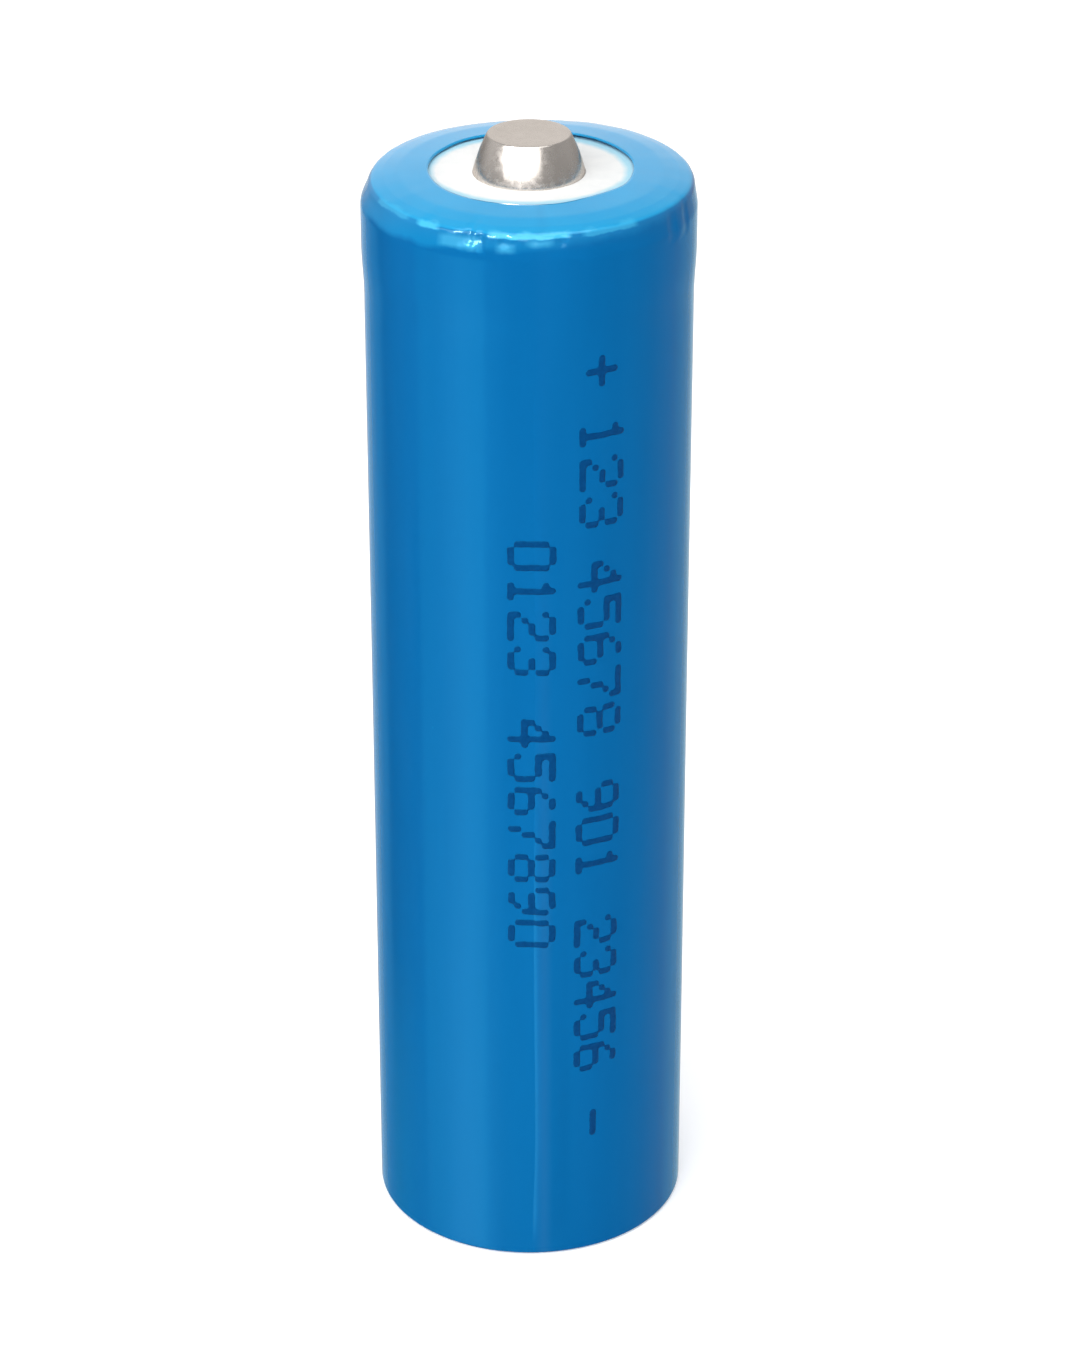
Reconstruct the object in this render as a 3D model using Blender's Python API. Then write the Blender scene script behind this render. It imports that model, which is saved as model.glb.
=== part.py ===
"""A cylindrical lithium-ion cell with a raised positive button, taken apart into its separate pieces.

Metres, +Z up. The cell stands on its negative end: the origin is the middle of the sleeve's bottom edge, and Z
is the cell's axis. Turned pieces share their number of sides and their phase, so thin ones nest closely.
"""

import math

import bmesh
import bpy

MM = 0.001
SIDES = 32  # of every turned piece
ROLL_SIDES = 24  # rays per turn of the wound sheets

# Driving dimensions of the outside
BODY_RADIUS = 9.18 * MM  # over the sleeve
SLEEVE_WALL = 0.12 * MM
SLEEVE_FOOT_RADIUS = 0.35 * MM  # of the corner at the base
SLEEVE_TOP = 65.72 * MM  # the turned-in lip's inner edge
SLEEVE_TOP_OPENING = 5.76 * MM  # radius
SLEEVE_BOTTOM_OPENING = 7.2 * MM  # radius
SHOULDER_BULGE = 0.12 * MM  # how far the sleeve stands out round the crimp
SHOULDER_START = 59.0 * MM
SHOULDER_FULL = 61.0 * MM
SHOULDER_END = 63.9 * MM
CREASE_HEIGHT = 65.2 * MM  # where the side turns in
CREASE_SETBACK = 0.24 * MM  # of the crease from the bulge
LIP_BENDS = ((0.24, 0.58), (0.52, 0.88))  # shares of the lip's width and rise: steep at first, then level
BUTTON_TOP = 67.7 * MM
BUTTON_BASE_RADIUS = 3.13 * MM
BUTTON_TOP_RADIUS = 2.3 * MM
BUTTON_EDGE = 0.1 * MM  # rounding of its flat's edge
BUTTON_FLANGE_RADIUS = 4.3 * MM
BUTTON_WALL = 0.25 * MM

# The can
CAN_WALL = 0.25 * MM
CAN_GAP = 0.03 * MM  # between the can and the shrunk sleeve
CAN_BASE_THICKNESS = 0.3 * MM
CAN_TOP = 65.22 * MM
CAN_CORNER_RADIUS = 0.5 * MM
CRIMP_OPENING = 6.5 * MM  # radius
CRIMP_RADIUS = 1.2 * MM  # of the rolled edge, outside
BEAD_HEIGHT = 60.4 * MM  # middle of the groove
BEAD_DEPTH = 1.1 * MM
BEAD_HALF_WIDTH = 1.0 * MM
BEAD_INNER_SHARE = 1.2  # the groove's width inside the wall, against outside
SCORE_RADIUS = 5.2 * MM  # of the ring coined into the base
SCORE_WIDTH = 0.4 * MM
SCORE_DEPTH = 0.1 * MM

# The lid: a stack of rings clamped in the gasket
STACK_GAP = 0.05 * MM
STACK_RADIUS = 8.25 * MM
STACK_BOTTOM = 62.45 * MM
GASKET_RADIUS = 8.71 * MM
GASKET_GAP = 0.07 * MM  # to the can
GASKET_BOTTOM = 61.65 * MM
GASKET_OPENING = 6.3 * MM
GASKET_TOP_OPENING = 6.6 * MM
CONTACT_THICKNESS = 0.3 * MM
INSULATOR_THICKNESS = 0.35 * MM
BURST_THICKNESS = 0.3 * MM
PTC_THICKNESS = 0.35 * MM
CAP_THICKNESS = 0.3 * MM
RING_OPENING = 5.9 * MM  # of the rings that leave room for the burst disc's centre
SCORE_LINE_RADIUS = 5.6 * MM  # where the burst disc parts
CAP_FLAT_RADIUS = 4.7 * MM
CAP_SLOPE = 1.2 * MM  # across, from the cap's flat down to its rim
CAP_TOP = 64.95 * MM
VENT_RADIUS = 0.35 * MM
DISH_DROP = 0.42 * MM  # from the contact disc's rim to its middle
DISH_SLOPE = 0.6 * MM  # across
PAD_RADIUS = 1.2 * MM  # of the burst disc's middle, on the contact disc
CENTRE_THICKNESS = 0.2 * MM  # of the burst disc inside its score line
CENTRE_RIM = 0.9 * MM  # width of its flat rim
GAS_HOLE_RADIUS = 0.6 * MM
GAS_HOLE_CIRCLE = 3.6 * MM

# The insulators
WASHER_THICKNESS = 0.22 * MM
WASHER_GAP = 0.06 * MM  # between the washer and the crimp
WASHER_RADIUS = 7.3 * MM
WASHER_OPENING = 3.2 * MM
WASHER_EDGE = 0.05 * MM  # chamfer
LOWER_DISC_BOTTOM = 0.72 * MM
UPPER_DISC_BOTTOM = 58.75 * MM
DISC_THICKNESS = 0.22 * MM
DISC_RADIUS = 8.1 * MM
UPPER_DISC_OPENING = 3.1 * MM
LOWER_DISC_OPENING = 1.6 * MM
DISC_HOLE_RADIUS = 0.8 * MM
DISC_HOLE_CIRCLE = 5.6 * MM

# The wound roll
PIN_RADIUS = 1.7 * MM
PIN_WALL = 0.2 * MM
PIN_SLIT_SIDES = 2  # of the pin's sides, left open
PIN_SIDES = 20
PIN_END_GAPS = 0.2 * MM, 0.5 * MM  # from the roll's bottom and top
ROLL_RADIUS = 2.3 * MM  # where the winding starts
ROLL_TURNS = 5
ROLL_GAP = 0.05 * MM
SEPARATOR_THICKNESS = 0.1 * MM
ELECTRODE_THICKNESS = 0.32 * MM
ROLL_BOTTOM = 1.15 * MM
ROLL_TOP = 58.3 * MM
ANODE_MARGIN = 0.45 * MM  # from the separators' edges to the anode's
CATHODE_MARGIN = 0.95 * MM
CATHODE_TURNS = 0.25, ROLL_TURNS - 0.5  # where the cathode starts and ends
ANODE_TURNS = 0.125, ROLL_TURNS - 0.25

# Tabs and tapes
TAB_THICKNESS = 0.15 * MM
TAB_WIDTH = 3.6 * MM
TAPE_THICKNESS = 0.07 * MM
TAPE_GAP = 0.04 * MM
POSITIVE_TAB_RADIUS = 2.0 * MM
POSITIVE_TAB_START = 30.0 * MM
POSITIVE_TAB_END = -1.6 * MM  # x, past the axis
POSITIVE_TAB_RUN = 0.55 * MM  # height over the upper disc
POSITIVE_TAB_LOOP = 4.4 * MM  # x of the loop's middle
POSITIVE_TAB_BEND = 0.5 * MM
POSITIVE_TAB_BACK = 0.4 * MM  # below the roll's top, where the tab starts to flatten
POSITIVE_TAPE = (45.0 * MM, ROLL_TOP - 0.5 * MM)  # bottom and top
NEGATIVE_TAB_RADIUS = 8.37 * MM
NEGATIVE_TAB_START = -1.8 * MM  # x, past the axis
NEGATIVE_TAB_BEND = 0.4 * MM
NEGATIVE_TAB_HUG = 3.0 * MM  # height from which the tab follows the roll
NEGATIVE_TAB_TOP = 40.0 * MM
NEGATIVE_TAPE = (4.0 * MM, NEGATIVE_TAB_TOP - 1.0 * MM)
END_TAPE_RADIUS = 8.33 * MM
END_TAPE = (8.0 * MM, 50.0 * MM)

WELD = 1e-7  # vertices closer than this are one
CUTTER_DEPTH = 6 * MM


def arc(centre, radius, start, end, steps):
    """Points on an arc in the (radius, height) plane, from one angle in degrees to another."""
    angles = [math.radians(start + (end - start) * i / steps) for i in range(steps + 1)]
    return [(centre[0] + radius * math.cos(a), centre[1] + radius * math.sin(a)) for a in angles]


def finish(name, colour, roughness, metallic=0.0):
    material = bpy.data.materials.new(name)
    material.use_nodes = True
    shader = material.node_tree.nodes["Principled BSDF"]
    shader.inputs["Base Color"].default_value = (*colour, 1.0)
    shader.inputs["Roughness"].default_value = roughness
    shader.inputs["Metallic"].default_value = metallic
    return material


def add_object(name, shape, material):
    """Turns a bmesh into an object of its own, with its faces out and its round sides smooth."""
    bmesh.ops.recalc_face_normals(shape, faces=shape.faces)
    mesh = bpy.data.meshes.new(name)
    shape.to_mesh(mesh)
    shape.free()
    mesh.materials.append(material)
    mesh.shade_smooth()
    mesh.set_sharp_from_angle(angle=math.radians(35))
    item = bpy.data.objects.new(name, mesh)
    bpy.context.collection.objects.link(item)
    return item


def turned(name, outline, material):
    """Spins a closed outline of (radius, height) points about Z. An outline may run along the axis."""
    shape = bmesh.new()
    points = [shape.verts.new((radius, 0.0, height)) for radius, height in outline]
    edges = []
    for here in range(len(points)):
        there = (here + 1) % len(points)
        if outline[here][0] or outline[there][0]:
            edges.append(shape.edges.new((points[here], points[there])))
    bmesh.ops.spin(
        shape,
        geom=points + edges,
        cent=(0, 0, 0),
        axis=(0, 0, 1),
        angle=2 * math.pi,
        steps=SIDES,
        use_merge=True,
    )
    bmesh.ops.remove_doubles(shape, verts=shape.verts, dist=WELD)
    return add_object(name, shape, material)


def lofted(name, sections, material):
    """Joins matching sections, each a closed loop of points, and closes both ends."""
    shape = bmesh.new()
    loops = [[shape.verts.new(point) for point in section] for section in sections]
    count = len(loops[0])
    for low, high in zip(loops, loops[1:], strict=False):
        for i in range(count):
            j = (i + 1) % count
            shape.faces.new((low[i], low[j], high[j], high[i]))
    shape.faces.new(loops[0])
    shape.faces.new(reversed(loops[-1]))
    return add_object(name, shape, material)


def ring(name, inner, outer, bottom, top, material):
    return turned(name, [(inner, bottom), (outer, bottom), (outer, top), (inner, top)], material)


def drill(item, radius, at_radius, count, height, first_angle=0.0):
    """Cuts round holes along Z, spread evenly about the axis, with cutters centred at a height."""
    for i in range(count):
        angle = first_angle + 2 * math.pi * i / count
        shape = bmesh.new()
        bmesh.ops.create_cone(
            shape, cap_ends=True, segments=8, radius1=radius, radius2=radius, depth=CUTTER_DEPTH
        )
        cutter = add_object(f"{item.name}_drill_{i}", shape, None)
        cutter.hide_render = True
        cutter.display_type = "WIRE"
        cutter.location = (at_radius * math.cos(angle), at_radius * math.sin(angle), height)
        cut = item.modifiers.new(f"hole_{i}", "BOOLEAN")
        cut.operation = "DIFFERENCE"
        cut.solver = "EXACT"
        cut.object = cutter


# Sleeve and top


def heat_shrink_sleeve():
    """A thin sleeve over the side, turned in over both ends. It leans in above the bulge to a crisp crease."""
    radius = BODY_RADIUS + SHOULDER_BULGE
    side = [(BODY_RADIUS, SHOULDER_START), (radius, SHOULDER_FULL), (radius, SHOULDER_END)]
    crease = (radius - CREASE_SETBACK, CREASE_HEIGHT)
    lip_width = crease[0] - SLEEVE_TOP_OPENING
    lip_rise = SLEEVE_TOP - CREASE_HEIGHT
    lip_bends = [(crease[0] - lip_width * x, CREASE_HEIGHT + lip_rise * z) for x, z in LIP_BENDS]
    foot_centre = (BODY_RADIUS - SLEEVE_FOOT_RADIUS, SLEEVE_FOOT_RADIUS)
    outline = [(SLEEVE_BOTTOM_OPENING, 0.0), *arc(foot_centre, SLEEVE_FOOT_RADIUS, -90, 0, 2), *side, crease]
    outline += [*lip_bends, (SLEEVE_TOP_OPENING, SLEEVE_TOP), (SLEEVE_TOP_OPENING, SLEEVE_TOP - SLEEVE_WALL)]
    outline += [(r, height - SLEEVE_WALL) for r, height in reversed(lip_bends)]
    outline += [(crease[0] - SLEEVE_WALL, CREASE_HEIGHT - SLEEVE_WALL / 2)]
    outline += [(r - SLEEVE_WALL, height) for r, height in reversed(side)]
    outline += arc(foot_centre, SLEEVE_FOOT_RADIUS - SLEEVE_WALL, 0, -90, 2)
    outline += [(SLEEVE_BOTTOM_OPENING, SLEEVE_WALL)]
    return turned("heat_shrink_sleeve", outline, finish("blue_pvc", (0.01, 0.19, 0.48), 0.22))


def insulator_washer():
    bottom = CAN_TOP + WASHER_GAP
    top = bottom + WASHER_THICKNESS
    outline = [(WASHER_OPENING, bottom), (WASHER_RADIUS, bottom), (WASHER_RADIUS, top - WASHER_EDGE)]
    outline += [(WASHER_RADIUS - WASHER_EDGE, top), (WASHER_OPENING, top)]
    return turned("insulator_washer", outline, finish("white_fibre", (0.93, 0.93, 0.92), 0.6))


def button_cap():
    """A drawn dome with convex sides and a flat top, and a flange that lies under the washer."""
    flange_top = CAN_TOP
    flange_bottom = CAP_TOP + STACK_GAP
    foot = CAN_TOP + WASHER_GAP + WASHER_THICKNESS

    def dome(inset, top, steps):
        """From the flat top's edge down to the foot. The radius shrinks with the square of the height."""
        lean = BUTTON_BASE_RADIUS - BUTTON_TOP_RADIUS
        rise = top - BUTTON_EDGE - foot
        shares = [1 - i / steps for i in range(steps + 1)]
        side = [(BUTTON_BASE_RADIUS - inset - lean * share**2, foot + rise * share) for share in shares]
        return [(0.0, top), (side[0][0] - BUTTON_EDGE, top), *side]

    outline = dome(0.0, BUTTON_TOP, 5)
    outline += [(BUTTON_BASE_RADIUS, flange_top), (BUTTON_FLANGE_RADIUS, flange_top)]
    outline += [(BUTTON_FLANGE_RADIUS, flange_bottom), (BUTTON_BASE_RADIUS - BUTTON_WALL, flange_bottom)]
    outline += reversed(dome(BUTTON_WALL, BUTTON_TOP - BUTTON_WALL, 4))
    return turned("button_cap", outline, finish("nickel", (0.62, 0.6, 0.57), 0.16, 1.0))


# Can


def steel_can():
    """A deep-drawn cup, beaded below the lid and crimped over it. A shallow ring is coined into its base."""
    outer = BODY_RADIUS - SLEEVE_WALL - CAN_GAP
    inner = outer - CAN_WALL
    bottom = SLEEVE_WALL + CAN_GAP
    floor = bottom + CAN_BASE_THICKNESS
    corner = (outer - CAN_CORNER_RADIUS, bottom + CAN_CORNER_RADIUS)
    crimp = (outer - CRIMP_RADIUS, CAN_TOP - CRIMP_RADIUS)

    def bead(radius, half_width, steps):
        offsets = [half_width * (2 * i / steps - 1) for i in range(steps + 1)]
        return [
            (radius - BEAD_DEPTH * math.cos(math.pi / 2 * offset / half_width) ** 2, BEAD_HEIGHT + offset)
            for offset in offsets
        ]

    score_inner, score_outer = SCORE_RADIUS - SCORE_WIDTH / 2, SCORE_RADIUS + SCORE_WIDTH / 2
    score_top = bottom + SCORE_DEPTH
    outline = [(0.0, bottom), (score_inner, bottom), (score_inner + SCORE_DEPTH, score_top)]
    outline += [(score_outer - SCORE_DEPTH, score_top), (score_outer, bottom)]
    outline += arc(corner, CAN_CORNER_RADIUS, -90, 0, 2)
    outline += bead(outer, BEAD_HALF_WIDTH, 6)
    outline += arc(crimp, CRIMP_RADIUS, 0, 90, 3)
    outline += [(CRIMP_OPENING, CAN_TOP), (CRIMP_OPENING, CAN_TOP - CAN_WALL)]
    outline += arc(crimp, CRIMP_RADIUS - CAN_WALL, 90, 0, 3)
    outline += reversed(bead(inner, BEAD_INNER_SHARE * BEAD_HALF_WIDTH, 6))
    outline += [(inner, corner[1]), (inner - CAN_WALL, floor), (0.0, floor)]
    return turned("steel_can", outline, finish("plated_steel", (0.55, 0.54, 0.52), 0.3, 1.0))


# Lid stack, from the gasket's bottom up


def stack_heights():
    """The bottom of each ring in the lid's stack."""
    contact = STACK_BOTTOM
    insulator = contact + CONTACT_THICKNESS + STACK_GAP
    burst = insulator + INSULATOR_THICKNESS + STACK_GAP
    ptc = burst + BURST_THICKNESS + STACK_GAP
    cap = ptc + PTC_THICKNESS + STACK_GAP
    return {"contact": contact, "insulator": insulator, "burst": burst, "ptc": ptc, "cap": cap}


def crimp_gasket():
    """A seal with a C-shaped section that wraps the rims of the whole stack."""
    centre = (BODY_RADIUS - SLEEVE_WALL - CAN_GAP - CRIMP_RADIUS, CAN_TOP - CRIMP_RADIUS)
    top = CAN_TOP - CAN_WALL - GASKET_GAP
    stack_top = stack_heights()["cap"] + CAP_THICKNESS + STACK_GAP
    inside = STACK_RADIUS + 0.08 * MM
    outline = [(GASKET_OPENING, GASKET_BOTTOM), (GASKET_RADIUS, GASKET_BOTTOM)]
    outline += arc(centre, GASKET_RADIUS - centre[0], 0, 90, 3)
    outline += [(GASKET_TOP_OPENING, top), (GASKET_TOP_OPENING, stack_top), (inside, stack_top)]
    outline += [(inside, STACK_BOTTOM - STACK_GAP), (GASKET_OPENING, STACK_BOTTOM - STACK_GAP)]
    return turned("crimp_gasket", outline, finish("gasket_polymer", (0.78, 0.8, 0.8), 0.5))


def cid_contact_disc():
    """A dished disc with gas holes, which the positive tab is welded to."""
    bottom = stack_heights()["contact"]
    dish = bottom - DISH_DROP
    shoulder = SCORE_LINE_RADIUS + 2 * STACK_GAP
    foot = shoulder - DISH_SLOPE
    outline = [(0.0, dish), (foot, dish), (shoulder, bottom), (STACK_RADIUS, bottom)]
    outline += [(STACK_RADIUS, bottom + CONTACT_THICKNESS), (shoulder, bottom + CONTACT_THICKNESS)]
    outline += [(foot, dish + CONTACT_THICKNESS), (0.0, dish + CONTACT_THICKNESS)]
    disc = turned("cid_contact_disc", outline, finish("contact_aluminium", (0.72, 0.72, 0.73), 0.35, 1.0))
    drill(disc, GAS_HOLE_RADIUS, GAS_HOLE_CIRCLE, 4, dish, math.pi / 4)
    return disc


def cid_insulator_ring():
    bottom = stack_heights()["insulator"]
    material = finish("amber_polymer", (0.5, 0.28, 0.08), 0.4)
    return ring(
        "cid_insulator_ring", RING_OPENING, STACK_RADIUS, bottom, bottom + INSULATOR_THICKNESS, material
    )


def burst_disc_rim():
    bottom = stack_heights()["burst"]
    inner = SCORE_LINE_RADIUS + STACK_GAP
    material = finish("burst_aluminium", (0.75, 0.76, 0.78), 0.3, 1.0)
    return ring("burst_disc_rim", inner, STACK_RADIUS, bottom, bottom + BURST_THICKNESS, material)


def burst_disc_centre():
    """The dished middle of the burst disc. It lifts off the contact disc when the cell trips."""
    heights = stack_heights()
    pad = heights["contact"] - DISH_DROP + CONTACT_THICKNESS + STACK_GAP
    rim = heights["burst"] + (BURST_THICKNESS - CENTRE_THICKNESS) / 2
    edge = SCORE_LINE_RADIUS - STACK_GAP
    underside = [(0.0, pad), (PAD_RADIUS, pad), (edge - CENTRE_RIM, rim), (edge, rim)]
    topside = [(radius, height + CENTRE_THICKNESS) for radius, height in reversed(underside)]
    return turned(
        "burst_disc_centre", underside + topside, finish("dish_aluminium", (0.8, 0.81, 0.83), 0.25, 1.0)
    )


def ptc_ring():
    bottom = stack_heights()["ptc"]
    material = finish("ptc_composite", (0.05, 0.05, 0.05), 0.5)
    return ring("ptc_ring", RING_OPENING, STACK_RADIUS, bottom, bottom + PTC_THICKNESS, material)


def positive_cap():
    """A pressed cap with a raised flat, and gas vents through its slope."""
    bottom = stack_heights()["cap"]
    underside = CAP_TOP - CAP_THICKNESS
    slope_foot = CAP_FLAT_RADIUS + CAP_SLOPE
    outline = [(0.0, CAP_TOP), (CAP_FLAT_RADIUS, CAP_TOP), (slope_foot, bottom + CAP_THICKNESS)]
    outline += [(STACK_RADIUS, bottom + CAP_THICKNESS), (STACK_RADIUS, bottom), (slope_foot, bottom)]
    outline += [(CAP_FLAT_RADIUS, underside), (0.0, underside)]
    cap = turned("positive_cap", outline, finish("cap_steel", (0.6, 0.58, 0.55), 0.25, 1.0))
    drill(cap, VENT_RADIUS, CAP_FLAT_RADIUS + CAP_SLOPE / 2, 4, bottom)
    return cap


# Roll


def upper_insulator_disc():
    top = UPPER_DISC_BOTTOM + DISC_THICKNESS
    material = finish("clear_film", (0.7, 0.72, 0.7), 0.4)
    disc = ring("upper_insulator_disc", UPPER_DISC_OPENING, DISC_RADIUS, UPPER_DISC_BOTTOM, top, material)
    drill(disc, DISC_HOLE_RADIUS, DISC_HOLE_CIRCLE, 4, top, math.pi / 4)
    return disc


def lower_insulator_disc():
    top = LOWER_DISC_BOTTOM + DISC_THICKNESS
    material = finish("blue_film", (0.2, 0.35, 0.5), 0.4)
    return ring("lower_insulator_disc", LOWER_DISC_OPENING, DISC_RADIUS, LOWER_DISC_BOTTOM, top, material)


def centre_pin():
    """A tube rolled from sheet, open along one side."""
    bottom, top = ROLL_BOTTOM + PIN_END_GAPS[0], ROLL_TOP - PIN_END_GAPS[1]
    inner = PIN_RADIUS - PIN_WALL
    corners = ((inner, bottom), (PIN_RADIUS, bottom), (PIN_RADIUS, top), (inner, top))
    sections = []
    for side in range(PIN_SIDES - PIN_SLIT_SIDES + 1):
        angle = 2 * math.pi * (side + PIN_SLIT_SIDES / 2) / PIN_SIDES
        sections.append([(r * math.cos(angle), r * math.sin(angle), height) for r, height in corners])
    return lofted("centre_pin", sections, finish("pin_steel", (0.5, 0.5, 0.5), 0.35, 1.0))


def wound_sheet(name, depth, thickness, margin, turns, material):
    """One sheet of the roll. Depth is how far it lies outside the innermost sheet of the same turn."""
    pitch = 2 * (SEPARATOR_THICKNESS + ELECTRODE_THICKNESS) + 4 * ROLL_GAP
    bottom, top = ROLL_BOTTOM + margin, ROLL_TOP - margin
    first, last = (round(turn * ROLL_SIDES) for turn in turns)
    sections = []
    for step in range(first, last + 1):
        angle = 2 * math.pi * step / ROLL_SIDES
        inner = ROLL_RADIUS + depth + pitch * step / ROLL_SIDES
        outer = inner + thickness
        corners = ((inner, bottom), (outer, bottom), (outer, top), (inner, top))
        sections.append([(r * math.cos(angle), r * math.sin(angle), height) for r, height in corners])
    return lofted(name, sections, material)


def roll():
    """Two electrodes and the two separators that keep them apart."""
    cathode_depth = SEPARATOR_THICKNESS + ROLL_GAP
    outer_depth = cathode_depth + ELECTRODE_THICKNESS + ROLL_GAP
    anode_depth = outer_depth + SEPARATOR_THICKNESS + ROLL_GAP
    film = finish("separator_film", (0.85, 0.86, 0.86), 0.5)
    dark = finish("cathode_coating", (0.06, 0.06, 0.07), 0.7)
    brown = finish("anode_coating", (0.2, 0.1, 0.06), 0.6)
    every_turn = (0, ROLL_TURNS)
    wound_sheet("separator_inner", 0.0, SEPARATOR_THICKNESS, 0.0, every_turn, film)
    wound_sheet("cathode_sheet", cathode_depth, ELECTRODE_THICKNESS, CATHODE_MARGIN, CATHODE_TURNS, dark)
    wound_sheet("separator_outer", outer_depth, SEPARATOR_THICKNESS, 0.0, every_turn, film)
    wound_sheet("anode_sheet", anode_depth, ELECTRODE_THICKNESS, ANODE_MARGIN, ANODE_TURNS, brown)


# Tabs and tapes


def arc_strip(name, radius, half_degrees, middle_degrees, heights, steps, material):
    """A thin strip of tape bent round the axis, between two heights."""
    shares = [2 * i / steps - 1 for i in range(steps + 1)]
    angles = [math.radians(middle_degrees + half_degrees * share) for share in shares]
    inner = [(radius * math.cos(a), radius * math.sin(a)) for a in angles]
    outside = radius + TAPE_THICKNESS
    outer = [(outside * math.cos(a), outside * math.sin(a)) for a in angles]
    loop = inner + outer[::-1]
    sections = [[(x, y, height) for x, y in loop] for height in heights]
    return lofted(name, sections, material)


def strip_section(middle, heading, curl, curl_radius):
    """One section of a tab in the XZ plane. Curl is 1 where it hugs a cylinder and 0 where it is flat."""
    steps = 4
    normal = (math.sin(heading), -math.cos(heading))
    faces = []
    for side in (-1, 1):
        face = []
        for i in range(steps + 1):
            across = TAB_WIDTH * (i / steps - 0.5)
            lean = curl * across / curl_radius
            bow = curl * curl_radius * (math.cos(across / curl_radius) - 1)
            sideways = (1 - curl) * across + curl * curl_radius * math.sin(across / curl_radius)
            out = bow + side * TAB_THICKNESS / 2 * math.cos(lean)
            sideways += side * TAB_THICKNESS / 2 * math.sin(lean)
            face.append((middle[0] + normal[0] * out, sideways, middle[1] + normal[1] * out))
        faces.append(face)
    return faces[0] + faces[1][::-1]


def tab_bend(centre, radius, start, end, steps):
    """Stations of a tab round a bend: its middle line and its heading."""
    headings = [math.radians(start + (end - start) * i / steps + 90) for i in range(steps + 1)]
    return list(zip(arc(centre, radius, start, end, steps), headings, strict=True))


def positive_tab():
    """Up inside the roll, through the upper disc, out, back in a loop, and flat under the contact disc."""
    disc_bottom = stack_heights()["contact"] - DISH_DROP
    weld_height = disc_bottom - STACK_GAP - TAB_THICKNESS / 2
    run_height = UPPER_DISC_BOTTOM + DISC_THICKNESS + POSITIVE_TAB_RUN
    loop_radius = (weld_height - run_height) / 2
    up = math.pi / 2
    middle, bend = POSITIVE_TAB_RADIUS, POSITIVE_TAB_BEND
    hug_end, flat_from = ROLL_TOP - POSITIVE_TAB_BACK, run_height - bend
    stations = [((middle, height), up, 1.0) for height in (POSITIVE_TAB_START, hug_end)]
    stations += [((middle, (hug_end + flat_from) / 2), up, 0.5)]
    first_bend = tab_bend((middle + bend, flat_from), bend, 180, 90, 3)
    stations += [(point, heading - math.pi, 0.0) for point, heading in first_bend]
    loop = tab_bend((POSITIVE_TAB_LOOP, run_height + loop_radius), loop_radius, -90, 90, 8)
    stations += [(point, heading, 0.0) for point, heading in loop]
    stations += [((POSITIVE_TAB_END, weld_height), math.pi, 0.0)]
    sections = [strip_section(point, heading, curl, middle) for point, heading, curl in stations]
    return lofted("positive_tab", sections, finish("tab_aluminium", (0.75, 0.75, 0.76), 0.3, 1.0))


def negative_tab():
    """Flat on the can's floor from the middle to the side, then up the outside of the roll."""
    floor = SLEEVE_WALL + CAN_GAP + CAN_BASE_THICKNESS
    height = floor + TAPE_GAP + TAB_THICKNESS / 2
    middle, bend = NEGATIVE_TAB_RADIUS, NEGATIVE_TAB_BEND
    stations = [((NEGATIVE_TAB_START, height), 0.0, 0.0)]
    corner = tab_bend((middle - bend, height + bend), bend, -90, 0, 3)
    stations += [(point, heading, 0.0) for point, heading in corner]
    stations += [((middle, z), math.pi / 2, 1.0) for z in (NEGATIVE_TAB_HUG, NEGATIVE_TAB_TOP)]
    sections = [strip_section(point, heading, curl, middle) for point, heading, curl in stations]
    return lofted("negative_tab", sections, finish("tab_nickel", (0.62, 0.6, 0.56), 0.25, 1.0))


def tapes():
    """One over each tab, and one that holds the roll's end down."""
    amber = finish("amber_tape", (0.55, 0.3, 0.06), 0.35)
    green = finish("green_tape", (0.1, 0.4, 0.2), 0.35)
    over_tab = TAB_THICKNESS / 2 + TAPE_GAP
    arc_strip("positive_tab_tape", POSITIVE_TAB_RADIUS + over_tab, 56, 0, POSITIVE_TAPE, 8, amber)
    arc_strip("negative_tab_tape", NEGATIVE_TAB_RADIUS + over_tab, 18, 0, NEGATIVE_TAPE, 4, amber)
    arc_strip("roll_end_tape", END_TAPE_RADIUS, 60, 150, END_TAPE, 12, green)


def main():
    for item in list(bpy.data.objects):
        bpy.data.objects.remove(item, do_unlink=True)
    heat_shrink_sleeve()
    insulator_washer()
    button_cap()
    steel_can()
    crimp_gasket()
    cid_contact_disc()
    cid_insulator_ring()
    burst_disc_rim()
    burst_disc_centre()
    ptc_ring()
    positive_cap()
    upper_insulator_disc()
    lower_insulator_disc()
    centre_pin()
    roll()
    positive_tab()
    negative_tab()
    tapes()


main()
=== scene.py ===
"""The looks of an upright cylindrical cell: glossy blue sleeve, white washer, raised metal button.

Metres, in the CAD frame: the cell stands on the floor at the origin and +Z is its axis. Bearings round the
cell are in degrees from -Y, where the camera is, turning towards +X. Materials are in millimetres.
"""

import math
import random

import bmesh
import bpy
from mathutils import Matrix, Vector, noise


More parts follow.
